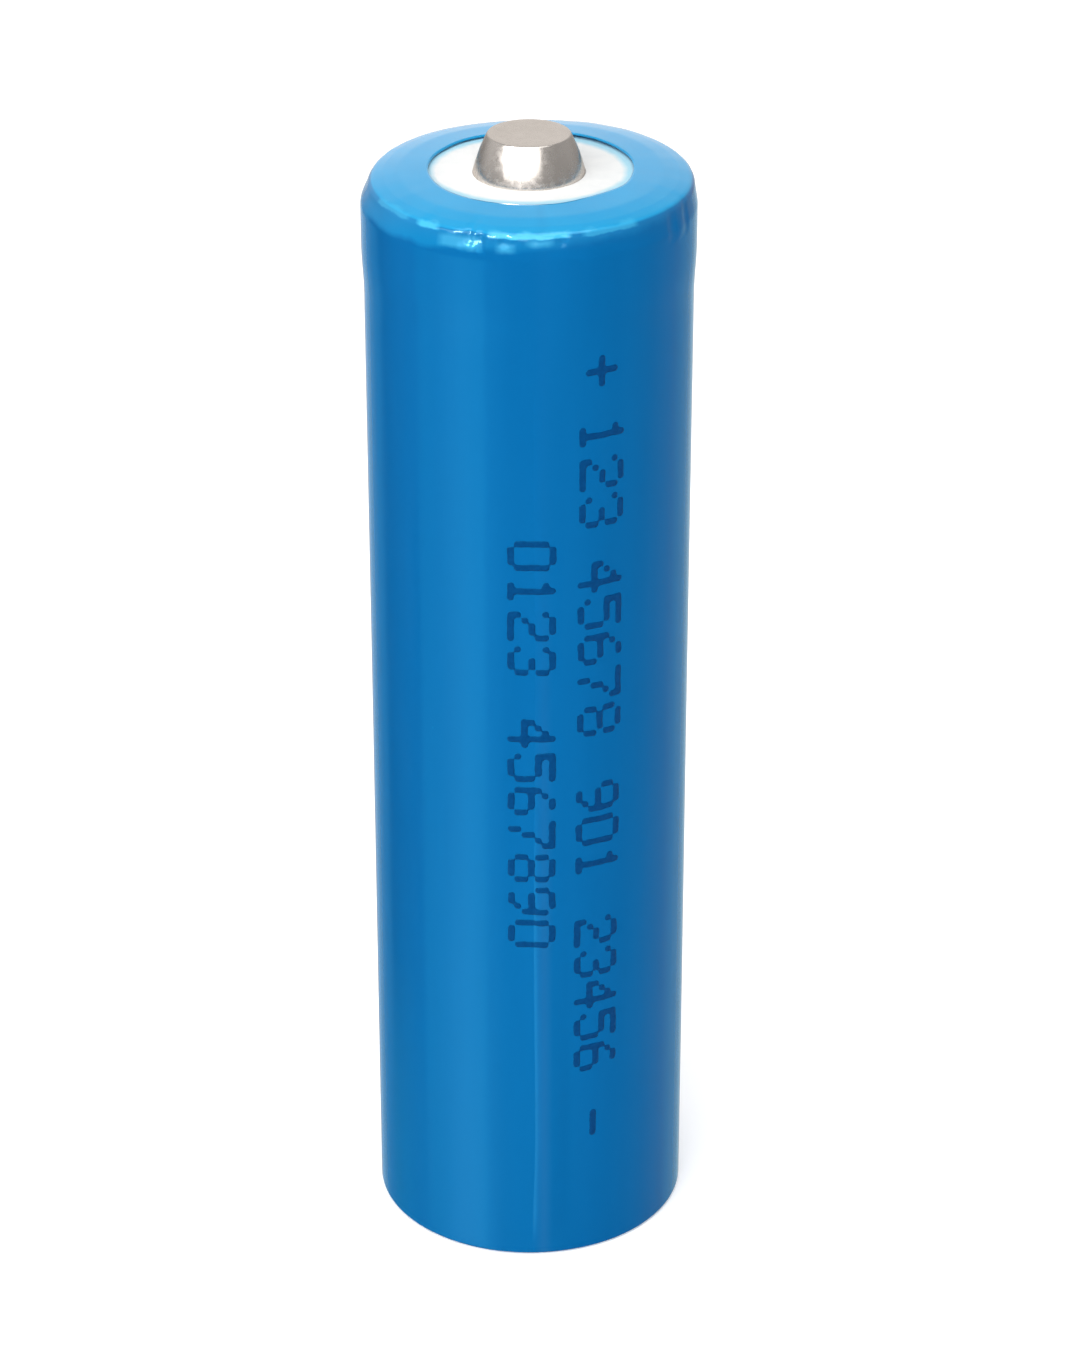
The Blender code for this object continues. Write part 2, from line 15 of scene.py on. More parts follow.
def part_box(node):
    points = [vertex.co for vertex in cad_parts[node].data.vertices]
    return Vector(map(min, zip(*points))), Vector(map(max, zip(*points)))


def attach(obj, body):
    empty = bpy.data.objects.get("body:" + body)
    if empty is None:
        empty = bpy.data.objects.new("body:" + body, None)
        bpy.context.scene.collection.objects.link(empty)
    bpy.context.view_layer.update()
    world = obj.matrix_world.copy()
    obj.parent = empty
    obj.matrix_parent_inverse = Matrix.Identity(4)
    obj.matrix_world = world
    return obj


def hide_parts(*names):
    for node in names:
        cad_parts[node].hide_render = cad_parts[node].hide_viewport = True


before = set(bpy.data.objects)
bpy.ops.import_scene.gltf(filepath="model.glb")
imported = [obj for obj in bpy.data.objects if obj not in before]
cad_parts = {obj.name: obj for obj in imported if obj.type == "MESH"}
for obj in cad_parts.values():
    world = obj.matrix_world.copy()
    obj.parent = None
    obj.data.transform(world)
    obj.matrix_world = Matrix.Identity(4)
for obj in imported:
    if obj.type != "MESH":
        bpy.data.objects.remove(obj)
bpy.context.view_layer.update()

MM = 0.001
random.seed(7)


# Geometry helpers

TURNS = 224  # sides of the fine turned pieces
ON_AXIS = 1e-7  # a smaller radius is on the axis
STRAIGHT = 0.01  # a corner that turns by fewer radians isn't rounded
BEND_STEP = 9  # degrees between the points of a rounded corner


def place(radius, bearing, height):
    """The point at a radius, a bearing and a height."""
    angle = math.radians(bearing)
    return (radius * math.sin(angle), -radius * math.cos(angle), height)


def towards(bearing, elevation):
    """The unit vector that points at a bearing and an elevation in degrees."""
    return place(math.cos(math.radians(elevation)), bearing, math.sin(math.radians(elevation)))


def smooth_step(low, high, value):
    """0 up to low and 1 from high, or the other way round where low is above high."""
    share = min(max((value - low) / (high - low), 0.0), 1.0)
    return share * share * (3 - 2 * share)


def bump_at(value, middle, half_width):
    """A smooth bump that is 1 in the middle and 0 from half_width away."""
    share = min(abs(value - middle) / half_width, 1.0)
    return (1 - share * share) ** 2


def bearing_gap(a, b):
    """The difference of two bearings, from -180 to 180."""
    return (a - b + 180) % 360 - 180


def bump_round(bearing, middle, half_width):
    """A smooth bump over bearings."""
    return bump_at(bearing_gap(bearing, middle), 0.0, half_width)


def ripple(way, height, rates, start=0.0):
    """Smooth noise from -1 to 1 at a way from the axis and a height. Rates are round the cell and up it."""
    around, upward = rates
    return noise.noise(Vector((way.x * around, way.y * around, height * upward + start)))


def rounded(corners, spacing):
    """A polyline with rounded corners (radius, height, fillet) and steps no wider than spacing(height)."""
    points = [Vector(corners[0][:2])]
    for before, corner, after in zip(corners, corners[1:], corners[2:]):
        here = Vector(corner[:2])
        fillet = corner[2]
        incoming = (here - Vector(before[:2])).normalized()
        outgoing = (Vector(after[:2]) - here).normalized()
        turn = incoming.angle(outgoing)
        if fillet == 0 or turn < STRAIGHT:
            points.append(here)
            continue
        reach = fillet * math.tan(turn / 2)
        start, end = here - incoming * reach, here + outgoing * reach
        steps = max(2, math.ceil(math.degrees(turn) / BEND_STEP))
        for i in range(steps + 1):
            t = i / steps
            points.append(start * (1 - t) ** 2 + here * 2 * t * (1 - t) + end * t * t)
    points.append(Vector(corners[-1][:2]))
    dense = [points[0]]
    for low, high in zip(points, points[1:]):
        steps = max(1, math.ceil((high - low).length / spacing(max(low.y, high.y))))
        dense += [low.lerp(high, i / steps) for i in range(1, steps + 1)]
    return [tuple(point) for point in dense]


def in_scene(name, data):
    """An object of some data, linked to the scene."""
    made = bpy.data.objects.new(name, data)
    bpy.context.scene.collection.objects.link(made)
    return made


def add_piece(name, shape, material, body="cell", nodes=()):
    """A bmesh as a piece of its own that rides on a body and stands for CAD nodes."""
    bmesh.ops.recalc_face_normals(shape, faces=shape.faces)
    mesh = bpy.data.meshes.new(name)
    shape.to_mesh(mesh)
    shape.free()
    mesh.shade_smooth()
    mesh.materials.append(material)
    piece = in_scene(name, mesh)
    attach(piece, body)
    if nodes:
        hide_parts(*nodes)
    return piece


def turned(outline, bearings=None, shift=None):
    """A bmesh of a closed outline of (radius, height) points turned about Z. Shift moves each point."""
    shape = bmesh.new()
    columns = []
    poles = {}
    bearings = bearings or [360 * side / TURNS for side in range(TURNS)]
    for bearing in bearings:
        column = []
        for index, (radius, height) in enumerate(outline):
            if radius < ON_AXIS:
                if index not in poles:
                    poles[index] = shape.verts.new((0, 0, height))
                column.append(poles[index])
                continue
            moved = shift(radius, height, bearing) if shift else (radius, height)
            column.append(shape.verts.new(place(moved[0], bearing, moved[1])))
        columns.append(column)
    count = len(outline)
    for here, there in zip(columns, columns[1:] + columns[:1]):
        for i in range(count):
            j = (i + 1) % count
            corners = list(dict.fromkeys((here[i], there[i], there[j], here[j])))
            if len(corners) > 2:
                shape.faces.new(corners)
    return shape


def meridian(node):
    """The outline of a turned CAD node, as (radius, height) points where it crosses the XZ plane."""
    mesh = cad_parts[node].data
    flat = 1e-6
    decimals = 7

    def key(index):
        """The vertex as an outline point, or None where it isn't on the plane's +X side."""
        point = mesh.vertices[index].co
        if abs(point.y) < flat and point.x > -flat:
            return round(point.x, decimals), round(point.z, decimals)
        return None

    links = {}
    for edge in mesh.edges:
        a, b = key(edge.vertices[0]), key(edge.vertices[1])
        if a and b and a != b and (a[0] > flat or b[0] > flat):
            links.setdefault(a, set()).add(b)
            links.setdefault(b, set()).add(a)
    ends = sorted(point for point, near in links.items() if len(near) == 1)
    point = ends[0] if ends else min(links)
    outline, last = [point], None
    while True:
        onward = sorted(near for near in links[point] if near != last and near not in outline[1:])
        onward = [near for near in onward if near != outline[0] or len(outline) > 2]
        if not onward or onward[0] == outline[0]:
            return outline
        last, point = point, onward[0]
        outline.append(point)


# Material helpers

MIX_A, MIX_B, MIX_COLOUR = 6, 7, 2  # a Mix node's two colour inputs and its colour output


class Nodes:
    """Short calls for the nodes of a tree."""

    def __init__(self, tree):
        self.tree = tree

    def feed(self, socket, value):
        if isinstance(value, bpy.types.NodeSocket):
            self.tree.links.new(value, socket)
        else:
            socket.default_value = value

    def node(self, kind, **values):
        """A node, with values for its inputs by their names."""
        made = self.tree.nodes.new(kind)
        for name, value in values.items():
            self.feed(made.inputs[name.replace("_", " ").title()], value)
        return made

    def math(self, operation, a, b=0.0):
        made = self.tree.nodes.new("ShaderNodeMath")
        made.operation = operation
        self.feed(made.inputs[0], a)
        self.feed(made.inputs[1], b)
        return made.outputs[0]

    def product(self, first, *others):
        for other in others:
            first = self.math("MULTIPLY", first, other)
        return first

    def total(self, first, *others):
        for other in others:
            first = self.math("ADD", first, other)
        return first

    def distance(self, value, middle):
        """How far a value is from a middle."""
        return self.math("ABSOLUTE", self.math("SUBTRACT", value, middle))

    def spread(self, source, low, high, start=0.3, end=0.7, smooth=False):
        """Source, where it runs from start to end, as a value from low to high."""
        made = self.tree.nodes.new("ShaderNodeMapRange")
        made.interpolation_type = "SMOOTHSTEP" if smooth else "LINEAR"
        for name, value in (("From Min", start), ("From Max", end), ("To Min", low), ("To Max", high)):
            made.inputs[name].default_value = value
        self.feed(made.inputs["Value"], source)
        return made.outputs["Result"]

    def axes(self, vector):
        """A vector's X, Y and Z."""
        made = self.node("ShaderNodeSeparateXYZ")
        self.feed(made.inputs[0], vector)
        return [made.outputs[axis] for axis in "XYZ"]

    def bearing(self, x, y):
        """The bearing of a point or of a way, in degrees."""
        angle = self.math("ARCTAN2", x, self.math("MULTIPLY", y, -1.0))
        return self.math("MULTIPLY", angle, math.degrees(1.0))


class Look(Nodes):
    """A Principled material."""

    def __init__(self, name, roughness=0.5, metallic=0.0):
        self.material = bpy.data.materials.new(name)
        self.material.use_nodes = True
        super().__init__(self.material.node_tree)
        self.shader = self.tree.nodes["Principled BSDF"]
        self.use(roughness=roughness, metallic=metallic)

    def use(self, **values):
        """Sets the shader's own sockets, such as base_color or roughness."""
        for name, value in values.items():
            self.feed(self.shader.inputs[name.replace("_", " ").title().replace("Ior", "IOR")], value)
        return self.material

    def places(self, stretch=(1, 1, 1)):
        """The piece's own coordinates in millimetres, stretched."""
        mapping = self.node("ShaderNodeMapping", scale=[1000 * share for share in stretch])
        self.feed(mapping.inputs["Vector"], self.node("ShaderNodeTexCoord").outputs["Object"])
        return mapping.outputs["Vector"]

    def radius(self):
        """The distance from the piece's Z axis in millimetres."""
        made = self.tree.nodes.new("ShaderNodeVectorMath")
        made.operation = "LENGTH"
        self.feed(made.inputs[0], self.places((1, 1, 0)))
        return made.outputs["Value"]

    def noise(self, scale, stretch=(1, 1, 1), detail=3.0):
        """Noise with about scale features to a millimetre."""
        made = self.node("ShaderNodeTexNoise", scale=scale, detail=detail)
        self.feed(made.inputs["Vector"], self.places(stretch))
        return made.outputs["Fac"]

    def cells(self, scale):
        """The distance to the nearest of scattered points, with about scale of them to a millimetre."""
        made = self.node("ShaderNodeTexVoronoi", scale=scale)
        self.feed(made.inputs["Vector"], self.places())
        return made.outputs["Distance"]

    def mix(self, share, low, high):
        """A colour that goes from low to high as share goes from 0 to 1."""
        made = self.tree.nodes.new("ShaderNodeMix")
        made.data_type = "RGBA"
        self.feed(made.inputs["Factor"], share)
        self.feed(made.inputs[MIX_A], low)
        self.feed(made.inputs[MIX_B], high)
        return made.outputs[MIX_COLOUR]

    def tones(self, source, dark, light, start=0.3, end=0.7):
        """A colour that goes from dark to light as source goes from start to end."""
        made = self.tree.nodes.new("ShaderNodeValToRGB")
        stops = zip(made.color_ramp.elements, (start, end), (dark, light))
        for element, position, colour in stops:
            element.position = position
            element.color = (*colour, 1.0)
        self.feed(made.inputs["Fac"], source)
        return made.outputs["Color"]

    def bump(self, source, height):
        """Bump of a height in metres."""
        made = self.node("ShaderNodeBump", strength=1.0, distance=height)
        self.feed(made.inputs["Height"], source)
        return made.outputs["Normal"]


# Measures of the film

BODY_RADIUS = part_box("steel_can")[1].x + 0.15 * MM
FILM = 0.12 * MM
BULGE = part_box("heat_shrink_sleeve")[1].x - BODY_RADIUS
BULGE_FROM, BULGE_TO = 58.6 * MM, 61.4 * MM  # heights where the film swells out over the crimp
LEAN_FROM = 63.8 * MM  # where the side starts to lean in towards the crease
LEAN_FILLET = 1.2 * MM
CREASE_HEIGHT = 65.2 * MM
CREASE_RADIUS = BODY_RADIUS + BULGE - 0.22 * MM
CREASE_FILLET = 0.5 * MM
LIP_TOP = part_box("heat_shrink_sleeve")[1].z
LIP_OPENING = 5.76 * MM
BASE_OPENING = 7.2 * MM
BASE_LIFT = 0.02 * MM  # at the base's opening
FOOT_RADIUS = 0.3 * MM

# Points of the side between the foot and the lean, in millimetres: closest where the film swells out
SIDE_HEIGHTS = (20, 40, 58, 58.8, 59.4, 60, 60.6, 61.2, 62, 63)

# Bends of the lip: radius, height, fillet
LIP_FLAT_RADIUS = 7.4 * MM
LIP_BENDS = (
    (8.3 * MM, CREASE_HEIGHT + 0.22 * MM, 0.8 * MM),
    (LIP_FLAT_RADIUS, LIP_TOP - 0.13 * MM, 3.0 * MM),
)

# Rows of points are this close in the wrinkled top and in the plain side below it
WRINKLED_FROM = 63.5 * MM
WRINKLED_ROW, PLAIN_ROW = 0.12 * MM, 0.9 * MM

# Columns of points: degrees between them, and the bearings where they are closer
FOLD_COLUMN, CRINKLED_COLUMN, PLAIN_COLUMN = 0.2, 0.5, 1.25
FOLD_SIDES = (-4.0, 2.5)  # from the fold's bearing
CRINKLED_BEARINGS = ((-46, 24), (50, 72))
LAST_BEARING = 179.9  # a column from here on would meet the first

# The lengthwise fold in the film. A zone is two heights, and its effect grows from the first to the second
FOLD_BEARING = 4.9
FOLD_HEIGHT = 0.13 * MM
FOLD_LEFT, FOLD_RIGHT = 3.4, 10.0  # its flanks' widths in degrees
FOLD_WANDER, FOLD_WANDER_RATE = 0.25, 0.21  # degrees, and radians to a millimetre
FOLD_HOOK, FOLD_HOOK_ZONE = -0.8, (9 * MM, 1 * MM)  # degrees, at its foot
FOLD_FAINTEST, FOLD_STRONG_ZONE = 0.35, (40 * MM, 18 * MM)
FOLD_TOP_ZONE, FOLD_FOOT_ZONE = (63 * MM, 55 * MM), (0.0, 2 * MM)

# Pleats where the film turns in under the base
PLEATS = 38
PLEAT_HEIGHT = 0.03 * MM

# Noise in the film's shape: rate round the cell, rate up it
SLOW_RIPPLE, SLOW_DEPTH = (2.2, 45), 0.012 * MM
FINE_RIPPLE, FINE_DEPTH = (13, 14), 0.006 * MM
CRINKLE, CRINKLE_DEPTH = (9, 700), 0.018 * MM
CRUMPLE = (22, 2600)
CREASE_WAVE, CREASE_WAVE_HEIGHT = (7, 0), 0.02 * MM
LIP_WAVE, LIP_WAVE_DEPTH = (2.5, 0), 0.05 * MM

# Zones under the crease: how far below it their middle is, half height
CREASE_ZONE = (0.0, 1.3 * MM)
CRINKLED_ZONE = (0.25 * MM, 1.0 * MM)
CRUMPLED_ZONE = (0.4 * MM, 0.8 * MM)
PLAIN_BELOW = LEAN_FROM - 0.5 * MM

# Where the crease isn't round: bearing, half width in degrees, how far it is pushed out, how far up
PUSHES = (
    (-88, 66, -0.27 * MM, 0.0),
    (142, 55, 0.08 * MM, 0.1 * MM),
)

# Dents along the crease: bearing, how far below the crease, half width in degrees, half height, depth
DENTS = (
    (-38.0, 0.0 * MM, 4.0, 0.35 * MM, 0.10 * MM),
    (-31.0, 0.5 * MM, 3.5, 0.5 * MM, 0.04 * MM),
    (-24.0, 0.45 * MM, 2.6, 0.5 * MM, 0.09 * MM),
    (-20.6, 0.15 * MM, 3.0, 0.75 * MM, 0.20 * MM),
    (-16.8, 0.35 * MM, 2.8, 0.8 * MM, 0.18 * MM),
    (-8.5, 0.3 * MM, 2.6, 0.5 * MM, 0.12 * MM),
    (2.0, 0.25 * MM, 3.0, 0.4 * MM, 0.06 * MM),
    (11.0, 0.35 * MM, 3.0, 0.5 * MM, 0.09 * MM),
    (27.0, 0.1 * MM, 7.0, 0.3 * MM, 0.05 * MM),
    (57.0, 1.0 * MM, 3.5, 1.5 * MM, 0.06 * MM),
    (62.0, 1.3 * MM, 3.0, 1.6 * MM, -0.03 * MM),
    (67.0, 1.0 * MM, 3.0, 1.6 * MM, 0.05 * MM),
)

# Fine crumpling under the crease: bearing, half width in degrees, depth
CRUMPLES = (
    (-19.5, 6.0, 0.14 * MM),
    (-6.0, 9.0, 0.05 * MM),
    (24.0, 12.0, 0.035 * MM),
)

# Swells of the lip's edge: bearing, half width in degrees, how far out
LIP_SWELLS = (
    (38, 26, -0.16 * MM),
    (62, 14, 0.05 * MM),
)

# Spots of painted highlight under the crease, where it glints: bearing, half width in degrees, how far
# below, half height in mm
GLINT_SPOTS = (
    (-24.5, 5.5, 0.62, 0.2),
    (-8.0, 1.0, 0.72, 0.1),
    (3.5, 2.5, 0.4, 0.03),
)

# Stretches of painted highlight along the crease: bearing, half width in degrees, strength
CREASE_HIGHLIGHTS = (
    (-37.3, 3.0, 1.0),
    (0.0, 12.5, 1.0),
    (29.0, 9.0, 0.45),
    (-57.0, 9.0, 0.4),
)


# Materials

WHITE = (1.0, 1.0, 1.0, 1.0)

# The blue film: dark and light tones of its side and of its lip, which is lighter partly as thin film over
# the white washer and partly as painted top light, then the colours of painted highlights along the fold,
# at spots under the crease and along the crease
SIDE_TONES = ((0.0015, 0.098, 0.280), (0.0022, 0.110, 0.308))
LIP_TONES = ((0.0080, 0.265, 0.530), (0.0120, 0.290, 0.565))
FOLD_HIGHLIGHT_COLOUR = (0.0080, 0.107, 0.290, 1.0)
GLINT_SPOT_COLOUR = (0.035, 0.285, 0.510, 1.0)
CREASE_HIGHLIGHT_COLOUR = (0.05, 0.40, 0.64, 1.0)

# Tints of straight reflections, in the film's side and the ink, and in the film's lip
SHEEN_TINT = (0.05, 0.62, 0.95, 1.0)
LIP_SHEEN_TINT = (0.55, 0.9, 1.0, 1.0)

INK_TONES = ((0.0002, 0.034, 0.135), (0.0004, 0.045, 0.165))
FIBRE_TONES = ((0.655, 0.665, 0.665), (0.70, 0.705, 0.70))
# Painted blue light bounced off the film onto the washer's rim
FIBRE_BOUNCE_COLOUR = (0.32, 0.56, 0.66, 1.0)
BUTTON_TONES = ((0.65, 0.60, 0.555), (0.71, 0.655, 0.61))
BUTTON_SHEEN_TINT = (0.68, 0.65, 0.62, 1.0)
PAPER_TONES = ((0.93, 0.93, 0.93), (0.95, 0.95, 0.95))


def thin_film_and_painted_light(look, x, z, crease):
    """1 on the lip, lighter partly as thin film over the white washer and partly as painted top light; in a
    band under the crease, a painted highlight that is stronger on the left; and at a few specks.
    """
    wobble = look.spread(look.noise(0.5, (1, 1, 0.15), detail=2.0), low=-0.2, high=0.2)
    slanted = look.total(wobble, look.math("MULTIPLY", x, -0.06))
    height = look.total(z, slanted)
    # Painted highlight in a band under the crease, stronger on the left where the key light falls
    lit_from_left = look.spread(x, low=0.4, high=0.12, start=-8.0, end=8.0)
    painted_light_band = look.product(look.spread(height, 0.0, 1.0, crease - 0.95, crease - 0.6), lit_from_left)
    # The lip: lighter partly as thin film over the white washer, partly as painted top light
    on_lip = look.spread(z, 0.0, 1.0, crease - 0.1, crease + 0.02)
    speck = look.spread(look.cells(0.14), low=0.7, high=0.0, start=0.012, end=0.022)
    return look.math("MAXIMUM", look.math("MAXIMUM", painted_light_band, on_lip), speck)


def painted_highlights(look, colour, bearing, z, crease):
    """The film's colour with painted highlights: along the fold, at spots under the crease and along parts
    of the crease.
    """

    def window(middle, half_width, soft):
        """1 within half_width of a bearing, 0 from soft outside it."""
        return look.spread(look.distance(bearing, middle), 1.0, 0.0, half_width, half_width + soft)

    # Painted highlight along the fold, lower down the cell
    lower_down = look.spread(z, low=1.0, high=0.1, start=22.0, end=46.0)
    painted_fold_highlight = look.product(window(FOLD_BEARING, 0.3, 3.0), lower_down)
    colour = look.mix(painted_fold_highlight, colour, FOLD_HIGHLIGHT_COLOUR)
    ragged_height = look.total(z, look.spread(look.noise(1.1, detail=2.0), low=-0.06, high=0.06))
    # Painted glints at spots under the crease
    for middle, half_width, below, half_height in GLINT_SPOTS:
        offset = look.distance(ragged_height, crease - below)
        share = look.spread(offset, low=0.85, high=0.0, start=half_height, end=half_height + 0.25)
        colour = look.mix(look.product(window(middle, half_width, 3.0), share), colour, GLINT_SPOT_COLOUR)
    # Painted highlight along stretches of the crease
    line = look.spread(look.distance(ragged_height, crease - 0.07), low=1.0, high=0.0, start=0.08, end=0.17)
    for middle, half_width, strength in CREASE_HIGHLIGHTS:
        share = look.product(window(middle, half_width, 2.5), line, strength)
        colour = look.mix(share, colour, CREASE_HIGHLIGHT_COLOUR)
    return colour


def sleeve_look():
    """Shrunk PVC film: slow lengthwise changes of tone, fine haze in its gloss, a faint orange peel, a lip
    lighter partly as thin film over the white washer and partly as painted top light, and painted
    highlights.
    """
    look = Look("blue_shrink_film")
    x, y, z = look.axes(look.places())
    crease = CREASE_HEIGHT / MM
    slow = look.math("MULTIPLY", look.noise(0.35, (1, 1, 0.06)), 0.8)
    fine = look.math("MULTIPLY", look.noise(9.0), 0.2)
    cloud = look.total(slow, fine)
    side = look.tones(cloud, *SIDE_TONES)
    lip = look.tones(cloud, *LIP_TONES)
    # Painted light: the lip and a band under the crease take the lighter lip tones
    colour = look.mix(thin_film_and_painted_light(look, x, z, crease), side, lip)
    # Painted highlights along the fold and the crease
    colour = painted_highlights(look, colour, look.bearing(x, y), z, crease)
    near_lip = look.spread(z, 0.0, 1.0, crease - 0.9, crease - 0.3)
    tint = look.mix(near_lip, SHEEN_TINT, LIP_SHEEN_TINT)
    haze = look.spread(look.noise(1.4, (1, 1, 0.12)), low=0.11, high=0.16)
    peel = look.bump(look.noise(1.6, detail=2.0), 0.004 * MM)
    return look.use(base_color=colour, specular_tint=tint, roughness=haze, normal=peel)


def fibre_look():
    """White fibre board: pale mottling, short crossing fibres, and round its rim a painted blue tint for
    light bounced off the film.
    """
    look = Look("white_fibre", 0.75)
    colour = look.tones(look.noise(1.2), *FIBRE_TONES)
    y = look.axes(look.places())[1]
    ragged = look.spread(look.noise(1.5), low=-0.05, high=0.05)
    wider_in_front = look.spread(y, low=0.6, high=0.0, start=-5.0, end=-1.5)
    reach = look.total(look.radius(), ragged, wider_in_front)
    # Painted bounce light: the rim of the opening takes the film's blue, wider in front
    colour = look.mix(look.spread(reach, 0.0, 1.0, 5.12, 5.5), colour, FIBRE_BOUNCE_COLOUR)
    fibres = look.total(look.noise(6.0, (1, 0.12, 1)), look.noise(6.0, (0.12, 1, 1)))
    return look.use(base_color=colour, normal=look.bump(fibres, 0.012 * MM))


def metal_look(name, tones, roughness, stretch=(1, 1, 1), scratch=0.002 * MM, grain=14.0, tint=WHITE):
    """Plated or bare metal: cloudy tone, uneven polish and fine scratches along one way."""
    look = Look(name, roughness, 1.0)
    look.use(specular_tint=tint)
    colour = look.tones(look.noise(0.7), *tones)
    polish = look.spread(look.noise(3.0, stretch), roughness * 0.75, roughness * 1.3)
    scratches = look.noise(grain, stretch, detail=2.0)
    return look.use(base_color=colour, roughness=polish, normal=look.bump(scratches, scratch))


def polymer_look(name, tones, roughness):
    """Moulded polymer: slight clouding and a fine moulded grain."""
    look = Look(name)
    colour = look.tones(look.noise(0.8), *tones)
    haze = look.spread(look.noise(4.0), roughness * 0.85, roughness * 1.15)
    return look.use(base_color=colour, roughness=haze, normal=look.bump(look.noise(12.0), 0.003 * MM))


def coating_look(name, tones):
    """Powder coating on foil: fine dark grain with a few paler crumbs."""
    look = Look(name, 0.8)
    colour = look.tones(look.noise(18.0, detail=6.0), *tones, start=0.35, end=0.6)
    return look.use(base_color=colour, normal=look.bump(look.cells(12.0), 0.01 * MM))


def tape_look(name, tones):
    """Backed tape: clear gloss over faint lengthwise drawing lines."""
    look = Look(name)
    lengthwise = (1, 1, 0.05)
    colour = look.tones(look.noise(3.0, lengthwise), *tones)
    haze = look.spread(look.noise(2.0), low=0.2, high=0.38)
    lines = look.bump(look.noise(8.0, lengthwise), 0.002 * MM)
    return look.use(base_color=colour, roughness=haze, normal=lines)


def ink_look():
    """Dark ink with uneven cover."""
    look = Look("printing_ink", 0.4)
    colour = look.tones(look.noise(5.0), *INK_TONES)
    look.use(specular_tint=SHEEN_TINT, specular_ior_level=0.3)
    return look.use(base_color=colour, normal=look.bump(look.noise(14.0), 0.002 * MM))


# Outer pieces


def side_radius(height):
    """The film's outer radius up its side."""
    return BODY_RADIUS + BULGE * smooth_step(BULGE_FROM, BULGE_TO, height)


def film_outline():
    """The film's outer face from the base opening up to the lip's edge, and then back inside."""
    corners = [(BASE_OPENING, BASE_LIFT, 0.0), (BODY_RADIUS, 0.0, FOOT_RADIUS)]
    corners += [(side_radius(z * MM), z * MM, 0.0) for z in SIDE_HEIGHTS]
    corners.append((side_radius(LEAN_FROM), LEAN_FROM, LEAN_FILLET))
    corners.append((CREASE_RADIUS, CREASE_HEIGHT, CREASE_FILLET))
    corners += [*LIP_BENDS, (LIP_OPENING, LIP_TOP, 0.0)]
    outer = rounded(corners, lambda height: WRINKLED_ROW if height > WRINKLED_FROM else PLAIN_ROW)
    inward = outer[::-1]
    lip_inner = [(r, height - FILM) for r, height in inward if height > CREASE_HEIGHT]
    side_inner = [(r - FILM, height) for r, height in inward if 2 * FOOT_RADIUS < height < CREASE_HEIGHT]
    foot_inner = [(BODY_RADIUS - FOOT_RADIUS, FILM), (BASE_OPENING, FILM)]
    return outer + lip_inner + side_inner + foot_inner


def fold_height(bearing, height):
    """The fold's height: a steep left flank and a long right one, stronger towards the base."""
    wander = FOLD_WANDER * math.sin(height / MM * FOLD_WANDER_RATE)
    wander += FOLD_HOOK * smooth_step(*FOLD_HOOK_ZONE, height)
    gap = bearing_gap(bearing, FOLD_BEARING + wander)
    flank = min(max(1 + gap / FOLD_LEFT, 0.0), 1.0)
    profile = flank * (2 - flank) * smooth_step(FOLD_RIGHT, 0.0, gap)
    strength = FOLD_FAINTEST + (1 - FOLD_FAINTEST) * smooth_step(*FOLD_STRONG_ZONE, height)
    fade = smooth_step(*FOLD_TOP_ZONE, height) * smooth_step(*FOLD_FOOT_ZONE, height)
    return FOLD_HEIGHT * profile * strength * fade


def base_pleats(radius, height, bearing):
    """How far the film's pleats lift it where it turns in under the base."""
    turned_in = smooth_step(BODY_RADIUS - 2 * FOOT_RADIUS, BASE_OPENING, radius) * (height < 2 * FILM)
    return PLEAT_HEIGHT * turned_in * (0.5 + 0.5 * math.sin(math.radians(bearing) * PLEATS))


def film_shift(radius, height, bearing):
    """Ripples, the fold, the uneven crease and lip and the base's pleats, as a moved (radius, height)."""
    way = Vector(place(1.0, bearing, 0.0))
    out = SLOW_DEPTH * ripple(way, height, SLOW_RIPPLE) + FINE_DEPTH * ripple(way, height, FINE_RIPPLE)
    if height < PLAIN_BELOW:
        return radius + out + fold_height(bearing, height), height + base_pleats(radius, height, bearing)
    up = 0.0
    below = CREASE_HEIGHT - height
    near_crease = bump_at(below, *CREASE_ZONE)
    for middle, half_width, push_out, push_up in PUSHES:
        share = near_crease * bump_round(bearing, middle, half_width)
        out += share * push_out
        up += share * push_up
    crinkled = bump_at(below, *CRINKLED_ZONE)
    out += CRINKLE_DEPTH * crinkled * ripple(way, height, CRINKLE)
    up += CREASE_WAVE_HEIGHT * crinkled * ripple(way, height, CREASE_WAVE, 5.0)
    for middle, half_width, depth in CRUMPLES:
        crumpled = bump_round(bearing, middle, half_width) * bump_at(below, *CRUMPLED_ZONE)
        out += depth * crumpled * ripple(way, height, CRUMPLE)
    for middle, dent_below, half_width, half_height, depth in DENTS:
        out -= depth * bump_round(bearing, middle, half_width) * bump_at(below, dent_below, half_height)
    wave = LIP_WAVE_DEPTH * ripple(way, height, LIP_WAVE, 2.0)
    wave += sum(swell * bump_round(bearing, middle, half_width) for middle, half_width, swell in LIP_SWELLS)
    out += wave * smooth_step(LIP_FLAT_RADIUS, LIP_OPENING, radius)
    return radius + out, height + up


def film_bearings():
    """The bearings of the film's columns, closest along the fold and where the crease is crinkled."""
    bearings = []
    bearing = -180.0
    while bearing < LAST_BEARING:
        bearings.append(bearing)
        if FOLD_SIDES[0] < bearing - FOLD_BEARING < FOLD_SIDES[1]:
            bearing += FOLD_COLUMN
        elif any(first < bearing < last for first, last in CRINKLED_BEARINGS):
            bearing += CRINKLED_COLUMN
        else:
            bearing += PLAIN_COLUMN
    return bearings


def film_piece():
    shape = turned(film_outline(), film_bearings(), film_shift)
    add_piece("shrink_film", shape, sleeve_look(), nodes=["heat_shrink_sleeve"])


